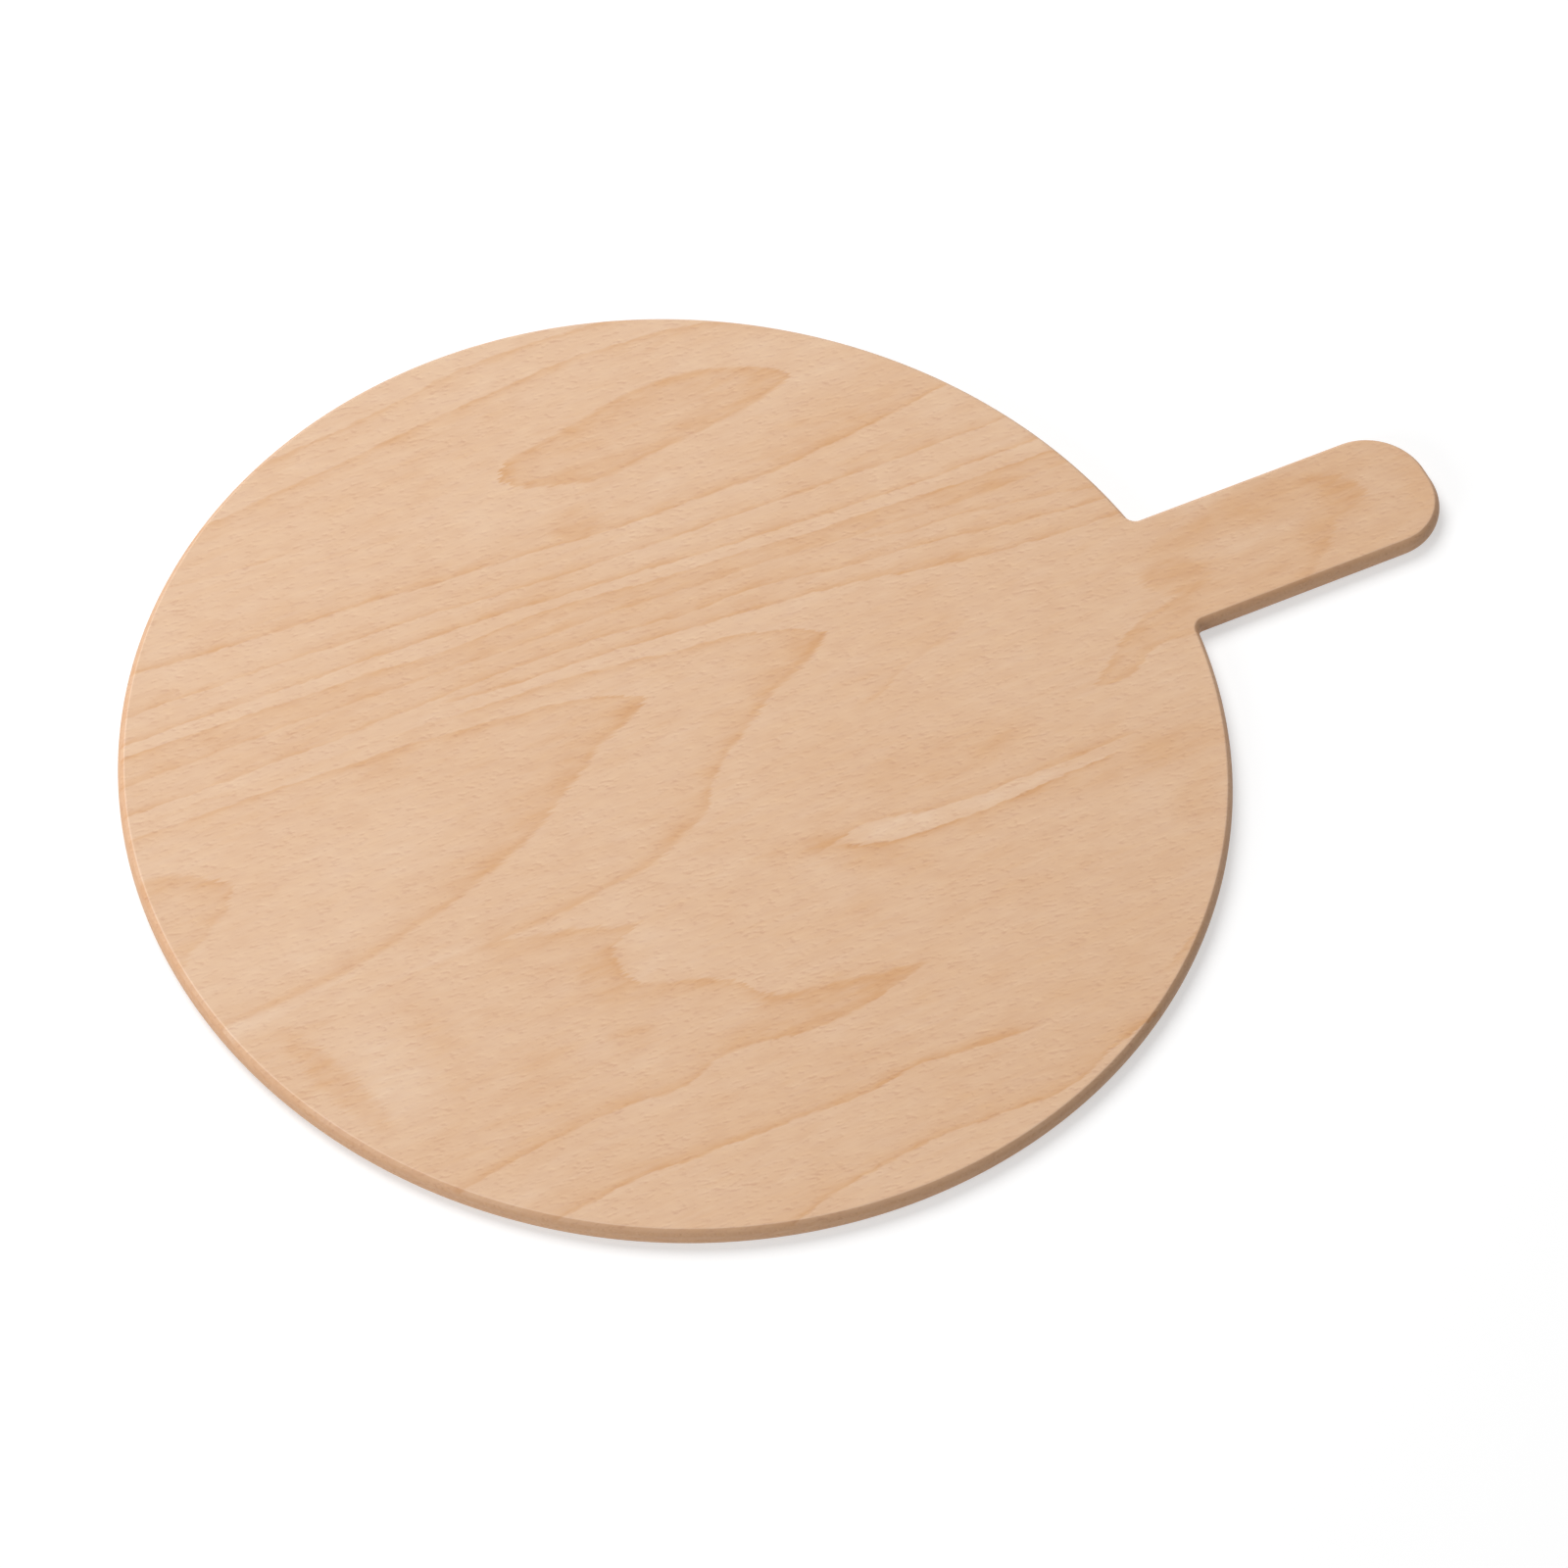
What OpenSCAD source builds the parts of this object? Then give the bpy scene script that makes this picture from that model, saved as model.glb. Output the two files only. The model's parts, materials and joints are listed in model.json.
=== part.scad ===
// Round pizza serving board with one paddle handle, pressed from seven beech veneers.
// The origin is the centre of the round, on the underside. The handle runs along +X and +Z is up.
// The grain of the two faces runs along the handle. Each veneer inside lies across its neighbours.

/* [Round] */
// Diameter of the round that carries the pizza, across the middle of its bowed side
disc_d = 350; // [300:5:400]

/* [Handle] */
// Width of the handle, across the middle of its bowed sides
handle_w = 45.5; // [38:0.5:52]
// Length of the handle, from the rim of the round to its tip
handle_out = 95.5; // [80:0.5:130]
// Flat stretch in the middle of the handle's rounded end
end_flat_w = 5; // [2:0.5:16]
// Radius of the hollow curve on each side of the neck, where the handle leaves the round
neck_fillet_r = 3; // [1.5:0.5:12]

/* [Side] */
// How far the middle of the bowed side stands out past the edges of the two faces
edge_bow = 2; // [1.5:0.25:2.5]

/* [Veneers] */
// Thickness of the top and the bottom face veneer after sanding
face_veneer_t = 1.25; // [1.1:0.05:1.6]
// Thickness of each of the veneers inside
inner_veneer_t = 1.1; // [0.8:0.05:1.5]

/* [Hidden] */
// The stack, from the serving face down
NODES = [
    "top_face_veneer",
    "upper_cross_veneer",
    "upper_long_veneer",
    "centre_cross_veneer",
    "lower_long_veneer",
    "lower_cross_veneer",
    "bottom_face_veneer"
];
$fn = 180;

// How far a cutter runs on past the veneer that it cuts, above and below
overrun = 0.5;
// How far a neck curve bites into the rim and the handle's side, so that they cross cleanly
neck_bite = 0.02;

inner_count = len(NODES) - 2;
board_t = 2 * face_veneer_t + inner_count * inner_veneer_t;

// Heights of a veneer's upper and lower face, from its place in the stack below the top face
function place(name) = search([name], NODES)[0];
function low_z(name) = board_t - face_veneer_t - place(name) * inner_veneer_t;
function high_z(name) = place(name) > 0 ? low_z(name) + inner_veneer_t : board_t;

// The side is an arc over the whole thickness, from the edge of one face to the edge of the other
disc_r = disc_d / 2;
mid_z = board_t / 2;
bow_r = (pow(mid_z, 2) + pow(edge_bow, 2)) / (2 * edge_bow);

// The handle's end: two round corners with the flat stretch between them
tip_x = disc_r + handle_out;
end_corner_r = (handle_w - end_flat_w) / 2;
end_corner_x = tip_x - end_corner_r;
end_corner_y = end_flat_w / 2;

// The centre of a neck curve lies its own radius clear of the rim and of the handle's side
neck_clear = neck_fillet_r - neck_bite;
neck_y = handle_w / 2 + neck_clear;
neck_x = sqrt(pow(disc_r + neck_clear, 2) - pow(neck_y, 2));

// Tones of sawn beech: a face along the grain, and the darker ends of the cross veneers
face_tone = [0.86, 0.71, 0.57];
long_tone = [0.83, 0.67, 0.52];
cross_tone = [0.76, 0.58, 0.43];

// Section of the board between two heights, from a middle line out to the bowed side
module edge_section(reach, z0, z1) {
    intersection() {
        translate([0, z0]) square([reach, z1 - z0]);
        union() {
            square([reach - bow_r, board_t]);
            translate([reach - bow_r, mid_z]) circle(r = bow_r);
        }
    }
}

// What a neck curve takes out between two heights: it is slimmest at mid height, like an hourglass
module neck_section(z0, z1) {
    difference() {
        translate([0, z0]) square([neck_fillet_r + bow_r, z1 - z0]);
        translate([neck_fillet_r + bow_r, mid_z]) circle(r = bow_r);
    }
}

// Web between the round and the handle. Its slanted sides run from the centre of the round to
// the centres of the neck curves, so what those curves leave of it ends just inside the rim.
module neck_web() {
    polygon([[0, 0], [neck_x, -neck_y], [neck_x, neck_y]]);
}

// Puts a copy of what it is given on each side of the middle line, at the distance y
module both_sides(x, y) {
    for (side = [-1, 1]) translate([x, side * y, 0]) children();
}

// Handle between two heights, from the middle of the round to its tip
module handle(z0, z1) {
    rotate([90, 0, 90]) linear_extrude(end_corner_x) {
        edge_section(handle_w / 2, z0, z1);
        mirror([1, 0]) edge_section(handle_w / 2, z0, z1);
    }
    translate([end_corner_x, 0, 0]) rotate([90, 0, 0]) linear_extrude(end_flat_w, center = true) {
        edge_section(end_corner_r, z0, z1);
    }
    both_sides(end_corner_x, end_corner_y) rotate_extrude() edge_section(end_corner_r, z0, z1);
}

// One veneer of the stack: the slice of the whole board between its two heights
module veneer(name) {
    z0 = low_z(name);
    z1 = high_z(name);
    rotate_extrude() edge_section(disc_r, z0, z1);
    handle(z0, z1);
    difference() {
        translate([0, 0, z0]) linear_extrude(z1 - z0) neck_web();
        both_sides(neck_x, neck_y) rotate_extrude() neck_section(z0 - overrun, z1 + overrun);
    }
}

// Turns a veneer over about the board's mid height. The stack is balanced, so the veneers below
// its middle one are those above it, turned over.
module turned_over() {
    translate([0, 0, board_t]) mirror([0, 0, 1]) children();
}

module top_face_veneer() {
    color(face_tone) veneer("top_face_veneer");
}

module upper_cross_veneer() {
    color(cross_tone) veneer("upper_cross_veneer");
}

module upper_long_veneer() {
    color(long_tone) veneer("upper_long_veneer");
}

module centre_cross_veneer() {
    color(cross_tone) veneer("centre_cross_veneer");
}

module lower_long_veneer() {
    color(long_tone) turned_over() veneer("upper_long_veneer");
}

module lower_cross_veneer() {
    color(cross_tone) turned_over() veneer("upper_cross_veneer");
}

module bottom_face_veneer() {
    color(face_tone) turned_over() veneer("top_face_veneer");
}

top_face_veneer();
upper_cross_veneer();
upper_long_veneer();
centre_cross_veneer();
lower_long_veneer();
lower_cross_veneer();
bottom_face_veneer();
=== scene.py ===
# %% [markdown]
# # A pizza serving board in beech
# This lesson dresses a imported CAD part: a round board with one paddle handle, pressed from seven
# crossed veneers. The CAD solids already have the right sizes, so every number here is taken from
# them or written down as a size in metres. We draw the outline once, cut seven fine sheets from
# it, and then spend most of our time on the wood itself.

import json
import math

import bpy
from mathutils import Matrix, Vector

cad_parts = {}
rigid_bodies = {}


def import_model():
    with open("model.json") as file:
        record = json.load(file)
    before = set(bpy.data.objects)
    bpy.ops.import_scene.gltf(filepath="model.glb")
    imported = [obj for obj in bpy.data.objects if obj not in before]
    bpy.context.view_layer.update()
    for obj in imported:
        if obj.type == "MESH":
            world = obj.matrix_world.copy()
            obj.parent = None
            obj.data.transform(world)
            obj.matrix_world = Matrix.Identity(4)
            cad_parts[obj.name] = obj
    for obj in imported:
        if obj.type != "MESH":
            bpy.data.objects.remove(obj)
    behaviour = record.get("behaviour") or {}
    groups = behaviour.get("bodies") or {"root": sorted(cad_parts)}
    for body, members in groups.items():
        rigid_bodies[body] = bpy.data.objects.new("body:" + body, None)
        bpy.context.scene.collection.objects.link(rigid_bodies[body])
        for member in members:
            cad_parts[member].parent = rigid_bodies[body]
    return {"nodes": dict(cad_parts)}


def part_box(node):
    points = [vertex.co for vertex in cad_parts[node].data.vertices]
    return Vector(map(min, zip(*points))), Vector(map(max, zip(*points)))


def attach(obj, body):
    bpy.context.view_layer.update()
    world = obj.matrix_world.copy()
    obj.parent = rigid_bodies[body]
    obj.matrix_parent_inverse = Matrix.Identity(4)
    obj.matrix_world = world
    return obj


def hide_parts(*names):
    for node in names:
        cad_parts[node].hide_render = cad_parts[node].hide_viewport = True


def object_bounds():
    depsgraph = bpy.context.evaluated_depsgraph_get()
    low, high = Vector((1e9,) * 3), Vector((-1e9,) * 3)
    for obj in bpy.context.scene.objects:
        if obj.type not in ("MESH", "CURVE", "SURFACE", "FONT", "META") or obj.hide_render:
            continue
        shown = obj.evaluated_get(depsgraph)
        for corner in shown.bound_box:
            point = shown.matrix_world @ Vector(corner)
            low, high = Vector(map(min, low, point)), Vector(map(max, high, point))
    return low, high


bpy.ops.object.select_all(action="SELECT")
bpy.ops.object.delete()
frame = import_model()
cad_low, cad_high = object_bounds()
print("nodes:", sorted(frame["nodes"]))
print("size:", [round(high - low, 4) for low, high in zip(cad_low, cad_high)])

# %% [markdown]
# ## The camera
# The photograph was taken from above, with a long lens: the board's far rim is hardly smaller
# than its near rim. A long lens on a camera that stands well back gives that flat perspective.
# The camera looks down at about 55 degrees and is rolled a little, so that the handle points up
# to the right. We build its three axes ourselves, because a roll is easier to see that way than
# in three Euler angles.

# %% Place the camera
MM = 0.001
CAMERA_TURN = math.radians(30.22)
CAMERA_DOWN = math.radians(55.37)
CAMERA_ROLL = math.radians(4.7)
CAMERA_DISTANCE = 2.464
LENS_MM = 180.0
SENSOR_MM = 36.0
AIM = Vector((28.5, -18.7, 0)) * MM

right = Vector((math.cos(CAMERA_TURN), -math.sin(CAMERA_TURN), 0))
away = Vector((math.sin(CAMERA_TURN), math.cos(CAMERA_TURN), 0))
ahead = away * math.cos(CAMERA_DOWN) - Vector((0, 0, math.sin(CAMERA_DOWN)))
up = away * math.sin(CAMERA_DOWN) + Vector((0, 0, math.cos(CAMERA_DOWN)))
camera_x = right * math.cos(CAMERA_ROLL) + up * math.sin(CAMERA_ROLL)
camera_y = up * math.cos(CAMERA_ROLL) - right * math.sin(CAMERA_ROLL)

camera_data = bpy.data.cameras.new("studio_camera")
camera_data.lens = LENS_MM
camera_data.sensor_width = SENSOR_MM
camera = bpy.data.objects.new("studio_camera", camera_data)
bpy.context.scene.collection.objects.link(camera)
axes = Matrix((camera_x, camera_y, -ahead)).transposed()
camera.matrix_world = Matrix.Translation(AIM - ahead * CAMERA_DISTANCE) @ axes.to_4x4()
bpy.context.scene.camera = camera
print("camera at", [round(c, 3) for c in camera.matrix_world.translation])

# %% [markdown]
# ## The studio
# The board lies on a white table. A large soft lamp stands behind it and to the left, so that the
# shadow is a soft grey rim on the right, a few millimetres wide. A weaker one in front and to the
# left lights the edge of the board that faces us, and a little light comes from all around.
# We say where a lamp stands as a photographer would, seen from the camera: 0 degrees is to the
# right, 90 in front of the board, 180 to the left and 270 behind it.

# %% Lamps
LAMP_DISTANCE = 3.0
AMBIENT = 0.24

scene = bpy.context.scene
scene.view_settings.view_transform = "Standard"


def set_lamp(name, round_angle, height_angle, size, power):
    """Stands a round soft lamp over the board, at those angles as seen from the camera."""
    level = right * math.cos(math.radians(round_angle)) - away * math.sin(math.radians(round_angle))
    rise = math.radians(height_angle)
    way = level * math.cos(rise) + Vector((0, 0, math.sin(rise)))
    data = bpy.data.lights.new(name, "AREA")
    data.shape = "DISK"
    data.size = size
    data.energy = power
    lamp = bpy.data.objects.new(name, data)
    lamp.location = way * LAMP_DISTANCE
    lamp.rotation_euler = way.to_track_quat("Z", "Y").to_euler()
    scene.collection.objects.link(lamp)
    print(name, "at", [round(c, 2) for c in lamp.location])


set_lamp("main_lamp", round_angle=221, height_angle=58, size=2.1, power=75)
set_lamp("edge_lamp", round_angle=132, height_angle=22, size=1.6, power=27)

# %% [markdown]
# Light also comes evenly from all around. It is weak, but the camera should see plain white air,
# and a gloss or a glass should mirror that white. A Light Path node tells the kinds of ray apart,
# and the table below asks it the same question.

# %% Light from all around
world = bpy.data.worlds.new("studio_air")
scene.world = world
world.use_nodes = True
air = world.node_tree
air.nodes.clear()


def seen_directly(tree):
    """1 for rays from the camera, a gloss or through glass, and 0 for light that falls on things."""
    path = tree.nodes.new("ShaderNodeLightPath")
    first = tree.nodes.new("ShaderNodeMath")
    first.operation = "MAXIMUM"
    tree.links.new(path.outputs["Is Camera Ray"], first.inputs[0])
    tree.links.new(path.outputs["Is Glossy Ray"], first.inputs[1])
    second = tree.nodes.new("ShaderNodeMath")
    second.operation = "MAXIMUM"
    tree.links.new(first.outputs[0], second.inputs[0])
    tree.links.new(path.outputs["Is Transmission Ray"], second.inputs[1])
    return second.outputs[0]


around = air.nodes.new("ShaderNodeBackground")
around.inputs["Strength"].default_value = AMBIENT
backdrop = air.nodes.new("ShaderNodeBackground")
backdrop.inputs["Strength"].default_value = 1
choose = air.nodes.new("ShaderNodeMixShader")
air_out = air.nodes.new("ShaderNodeOutputWorld")
air.links.new(seen_directly(air), choose.inputs["Fac"])
air.links.new(around.outputs[0], choose.inputs[1])
air.links.new(backdrop.outputs[0], choose.inputs[2])
air.links.new(choose.outputs[0], air_out.inputs["Surface"])
print("light from all around:", AMBIENT)

# %% [markdown]
# ## The table
# A white table could be had by throwing more light at it, but that would wash out the board too.
# So the table answers in two ways. To the camera it shows a diffuse grey with a glow, which adds
# up to white where the lamps reach and still keeps the board's shadow. To the light that bounces
# from it onto the board it is a plain pale surface.

# %% White table
TABLE_HALF = 6.0
TABLE_GAP = 0.05 * MM
TABLE_PLAIN = 0.77
TABLE_SHARE = 0.56
TABLE_WHITE = 0.53

bpy.ops.object.select_all(action="DESELECT")
bpy.ops.mesh.primitive_plane_add(size=2 * TABLE_HALF, location=(0, 0, cad_low[2] - TABLE_GAP))
table = bpy.context.active_object
table.name = "table_top"
table_paint = bpy.data.materials.new("white_table")
table_paint.use_nodes = True
paint = table_paint.node_tree
paint.nodes.clear()
lit = paint.nodes.new("ShaderNodeBsdfDiffuse")
lit.inputs["Color"].default_value = (TABLE_PLAIN, TABLE_PLAIN, TABLE_PLAIN, 1)
seen_lit = paint.nodes.new("ShaderNodeBsdfDiffuse")
seen_lit.inputs["Color"].default_value = (TABLE_SHARE, TABLE_SHARE, TABLE_SHARE, 1)
seen_white = paint.nodes.new("ShaderNodeEmission")
seen_white.inputs["Strength"].default_value = TABLE_WHITE
both = paint.nodes.new("ShaderNodeAddShader")
paint.links.new(seen_lit.outputs[0], both.inputs[0])
paint.links.new(seen_white.outputs[0], both.inputs[1])
by_ray = paint.nodes.new("ShaderNodeMixShader")
paint.links.new(seen_directly(paint), by_ray.inputs["Fac"])
paint.links.new(lit.outputs[0], by_ray.inputs[1])
paint.links.new(both.outputs[0], by_ray.inputs[2])
table_out = paint.nodes.new("ShaderNodeOutputMaterial")
paint.links.new(by_ray.outputs[0], table_out.inputs["Surface"])
table.data.materials.append(table_paint)
print("table top at", round(table.location.z, 5))

# %% [markdown]
# ## The outline
# A shop would cut this outline on a router from the pressed sheet. It is a circle, two small hollow
# curves at the neck, a straight handle and a nearly half-round end. We could join a disc and a
# bar with a boolean, but the neck curves are much cleaner if we draw half the outline with the
# spin tool, as with a pair of compasses, and mirror it. Spin turns the selected point about a
# centre and leaves a smooth chain of short edges behind. The outline is that of the board's
# middle height, where its bowed side stands out furthest.

# %% Sizes of the outline
mid_low, mid_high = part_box("centre_cross_veneer")
ROUND_R = -mid_low.x
TIP_X = mid_high.x
BOARD_T = cad_high[2] - cad_low[2]
HANDLE_HALF_W = 22.75 * MM
END_FLAT_HALF = 2.5 * MM
NECK_R = 3 * MM
EDGE_BOW = 2 * MM
ARRIS_R = 0.8 * MM

END_R = HANDLE_HALF_W - END_FLAT_HALF
END_X = TIP_X - END_R
NECK_Y = HANDLE_HALF_W + NECK_R
NECK_X = math.sqrt((ROUND_R + NECK_R) ** 2 - NECK_Y ** 2)
NECK_ANGLE = math.atan2(NECK_Y, NECK_X)
RIM_STEPS = 240
NECK_STEPS = 12
END_STEPS = 24
print("round radius", round(ROUND_R, 4), "neck curve centred at", round(NECK_X, 4), round(NECK_Y, 4))


# %% Helpers for modelling by hand
def select_only(obj):
    """Deselects everything else: an operator acts on all that is selected."""
    bpy.ops.object.select_all(action="DESELECT")
    obj.select_set(True)
    bpy.context.view_layer.objects.active = obj


def spin_point(centre, angle, steps):
    """Carries the selected point round a centre, anticlockwise for a positive angle seen from above."""
    bpy.ops.mesh.spin(steps=steps, angle=-angle, center=centre, axis=(0, 0, 1))


def draw_to(step):
    """Pulls a straight edge out of the selected point."""
    bpy.ops.mesh.extrude_region_move(TRANSFORM_OT_translate={"value": step})


print("rim in", RIM_STEPS, "steps, neck in", NECK_STEPS, "and end in", END_STEPS)

# %% Draw half the outline and mirror it
HAIR = 0.01 * MM

bpy.ops.object.select_all(action="DESELECT")
bpy.ops.mesh.primitive_plane_add(size=1 * MM, location=(0, 0, 0))
outline = bpy.context.active_object
outline.name = "outline"
bpy.ops.object.mode_set(mode="EDIT")
bpy.ops.mesh.select_all(action="SELECT")
bpy.ops.mesh.merge(type="CENTER")
bpy.ops.transform.translate(value=(-ROUND_R, 0, 0))
spin_point((0, 0, 0), -(math.pi - NECK_ANGLE), RIM_STEPS)
spin_point((NECK_X, NECK_Y, 0), math.pi / 2 - NECK_ANGLE, NECK_STEPS)
draw_to((END_X - NECK_X, 0, 0))
spin_point((END_X, END_FLAT_HALF, 0), -math.pi / 2, END_STEPS)
draw_to((0, -END_FLAT_HALF, 0))
bpy.ops.object.mode_set(mode="OBJECT")
half_mirror = outline.modifiers.new("half_mirror", "MIRROR")
half_mirror.use_axis = (False, True, False)
half_mirror.merge_threshold = HAIR
select_only(outline)
bpy.ops.object.modifier_apply(modifier=half_mirror.name)
bpy.ops.object.mode_set(mode="EDIT")
bpy.ops.mesh.select_all(action="SELECT")
bpy.ops.mesh.remove_doubles(threshold=HAIR)
bpy.ops.mesh.edge_face_add()
bpy.ops.object.mode_set(mode="OBJECT")
print("outline:", len(outline.data.vertices), "points,", len(outline.data.polygons), "face")

# %% [markdown]
# ## The bowed side
# The side of the board isn't a flat wall: it is sanded to a low arc, two millimetres deep, that
# meets each face at a crisp corner. We give the outline a hair of thickness and then inset its top
# face again and again, each time a little inward and upward, so that the steps follow the arc.
# The last few steps round the corner off. The same is done downwards. A bevel would be quicker,
# but it can't make an arc that is wider than it is deep.

# %% Shape the side
MID_BAND = 0.04 * MM
BOW_STEPS = 14
ARRIS_STEPS = 4
RING_INSET = 0.3 * MM
FLAT_ENOUGH = 0.99
SMOOTH_UP_TO = math.radians(40)
BOW_R = ((BOARD_T / 2) ** 2 + EDGE_BOW ** 2) / (2 * EDGE_BOW)


def side_points():
    """Steps from mid height to a face: how far in, and how high above the middle."""
    half = BOARD_T / 2
    arris_in = math.sqrt((BOW_R - ARRIS_R) ** 2 - (half - ARRIS_R) ** 2)
    meet = math.atan2(half - ARRIS_R, arris_in)
    points = [(0, MID_BAND / 2)]
    for step in range(1, BOW_STEPS + 1):
        turn = meet * step / BOW_STEPS
        points.append((BOW_R * (1 - math.cos(turn)), BOW_R * math.sin(turn)))
    for step in range(1, ARRIS_STEPS + 1):
        turn = meet + (math.pi / 2 - meet) * step / ARRIS_STEPS
        across = BOW_R - arris_in - ARRIS_R * math.cos(turn)
        points.append((across, half - ARRIS_R + ARRIS_R * math.sin(turn)))
    return points


def pick_face(obj, up):
    """Selects the wide top face (up = 1) or the wide bottom face (up = -1) in edit mode."""
    bpy.ops.object.mode_set(mode="OBJECT")
    for face in obj.data.polygons:
        face.select = face.normal.z * up > FLAT_ENOUGH and face.area > ROUND_R ** 2
    bpy.ops.object.mode_set(mode="EDIT")


print("the side is an arc of radius", round(BOW_R / MM, 2), "mm")

# %% Step the side up and down from mid height
board = outline
board.name = "pressed_board"
select_only(board)
bpy.ops.object.mode_set(mode="EDIT")
bpy.ops.mesh.select_mode(type="FACE")
bpy.ops.mesh.select_all(action="SELECT")
bpy.ops.transform.translate(value=(0, 0, cad_low[2] + BOARD_T / 2 - MID_BAND / 2))
bpy.ops.mesh.extrude_region_move(TRANSFORM_OT_translate={"value": (0, 0, MID_BAND)})
bpy.ops.mesh.select_all(action="SELECT")
bpy.ops.mesh.normals_make_consistent(inside=False)
arc = side_points()
for up in (1, -1):
    for here, there in zip(arc, arc[1:]):
        pick_face(board, up)
        bpy.ops.mesh.inset(thickness=there[0] - here[0], depth=there[1] - here[1])
    pick_face(board, up)
    bpy.ops.mesh.inset(thickness=RING_INSET)
bpy.ops.object.mode_set(mode="OBJECT")
print("pressed board:", len(board.data.polygons), "faces")

# %% [markdown]
# ## Seven sheets
# The board is pressed from seven veneers before it is cut and sanded, so the arc runs through all
# of them. We make a copy of the shaped board for each veneer and bisect it at the veneer's two
# faces, as a slicer would. Every sheet then carries its own share of the arc, and the arc is
# unbroken from sheet to sheet. An inset ring just inside the corner and a weighted-normal modifier
# keep the wide flat face flat in the light.

# %% Slice the sheets
def slice_sheet(name, node):
    """Makes one veneer over its CAD node by cutting a copy of the board at the node's heights."""
    low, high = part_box(node)
    sheet = board.copy()
    sheet.data = board.data.copy()
    sheet.name = name
    scene.collection.objects.link(sheet)
    select_only(sheet)
    bpy.ops.object.mode_set(mode="EDIT")
    for height, above in ((low.z, True), (high.z, False)):
        if cad_low[2] + HAIR < height < cad_high[2] - HAIR:
            bpy.ops.mesh.select_all(action="SELECT")
            bpy.ops.mesh.bisect(plane_co=(0, 0, height), plane_no=(0, 0, 1), use_fill=True,
                                clear_inner=above, clear_outer=not above)
    bpy.ops.mesh.select_all(action="SELECT")
    bpy.ops.mesh.normals_make_consistent(inside=False)
    bpy.ops.object.mode_set(mode="OBJECT")
    bpy.ops.object.shade_smooth_by_angle(angle=SMOOTH_UP_TO)
    fair = sheet.modifiers.new("fair_normals", "WEIGHTED_NORMAL")
    fair.keep_sharp = True
    bpy.ops.object.modifier_apply(modifier=fair.name)
    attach(sheet, "root")
    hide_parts(node)
    print(name, "faces", len(sheet.data.polygons), "z", round(low.z / MM, 3), "to", round(high.z / MM, 3))
    return sheet


SHEETS = {
    "top_sheet": "top_face_veneer",
    "upper_cross_sheet": "upper_cross_veneer",
    "upper_long_sheet": "upper_long_veneer",
    "centre_cross_sheet": "centre_cross_veneer",
    "lower_long_sheet": "lower_long_veneer",
    "lower_cross_sheet": "lower_cross_veneer",
    "bottom_sheet": "bottom_face_veneer",
}
sheets = {name: slice_sheet(name, node) for name, node in SHEETS.items()}
bpy.data.objects.remove(board)

# %% [markdown]
# ## Helpers for the finishes
# All the wood is procedural and lives on the object's own coordinates, in millimetres, so the
# figure stays where it is when the camera moves. A few small functions keep the node work short:
# one adds a maths step, one turns a range into a mask, one reads a curve through given points.

# %% Small node helpers
def calc(tree, operation, *values):
    """A Math node. Each value is a number or another node's output."""
    step = tree.nodes.new("ShaderNodeMath")
    step.operation = operation
    for slot, value in zip(step.inputs, values):
        if isinstance(value, (int, float)):
            slot.default_value = value
        else:
            tree.links.new(value, slot)
    return step.outputs[0]


def span(tree, value, low, high, to_low=0.0, to_high=1.0, soft=True):
    """Turns the range from low to high into 0 to 1, or to_low to to_high, and clamps it."""
    step = tree.nodes.new("ShaderNodeMapRange")
    step.interpolation_type = "SMOOTHSTEP" if soft else "LINEAR"
    tree.links.new(value, step.inputs["Value"])
    for label, bound in (("From Min", low), ("From Max", high), ("To Min", to_low), ("To Max", to_high)):
        step.inputs[label].default_value = bound
    return step.outputs["Result"]


def window(tree, along, start, end, soft=6.0):
    """1 between start and end, with soft shoulders."""
    opens = span(tree, along, start - soft, start + soft)
    closes = span(tree, along, end - soft, end + soft, 1.0, 0.0)
    return calc(tree, "MULTIPLY", opens, closes)


def noise(tree, place, long, wide, detail=2.0, turn=0.0, shift=0.0):
    """Noise whose blotches are that long and that wide, in millimetres. It varies about 0.5."""
    stretch = tree.nodes.new("ShaderNodeMapping")
    stretch.vector_type = "TEXTURE"
    stretch.inputs["Location"].default_value = (shift, shift, 0)
    stretch.inputs["Rotation"].default_value = (0, 0, math.radians(turn))
    stretch.inputs["Scale"].default_value = (long, wide, wide)
    tree.links.new(place, stretch.inputs["Vector"])
    cloud = tree.nodes.new("ShaderNodeTexNoise")
    cloud.inputs["Scale"].default_value = 1.0
    cloud.inputs["Detail"].default_value = detail
    tree.links.new(stretch.outputs[0], cloud.inputs["Vector"])
    return cloud.outputs["Fac"]


def noise_about_0(tree, place, long, wide, detail=2.0, turn=0.0, shift=0.0):
    """The same noise, moved down so that it adds to a tone without changing it on average."""
    return calc(tree, "SUBTRACT", noise(tree, place, long, wide, detail, turn, shift), 0.5)


def patch(tree, place, x, y, long, wide, turn=0.0, soft=0.5):
    """A soft oval spot: 1 in its middle and 0 outside."""
    frame_of = tree.nodes.new("ShaderNodeMapping")
    frame_of.vector_type = "TEXTURE"
    frame_of.inputs["Location"].default_value = (x, y, 0)
    frame_of.inputs["Rotation"].default_value = (0, 0, math.radians(turn))
    frame_of.inputs["Scale"].default_value = (long, wide, 1)
    tree.links.new(place, frame_of.inputs["Vector"])
    reach = tree.nodes.new("ShaderNodeVectorMath")
    reach.operation = "LENGTH"
    tree.links.new(frame_of.outputs[0], reach.inputs[0])
    return span(tree, reach.outputs["Value"], 1 - soft, 1 + soft, 1.0, 0.0)


print("node helpers are ready")

# %% Curves through given points
CURVE_LOW, CURVE_HIGH = -180.0, 280.0


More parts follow.
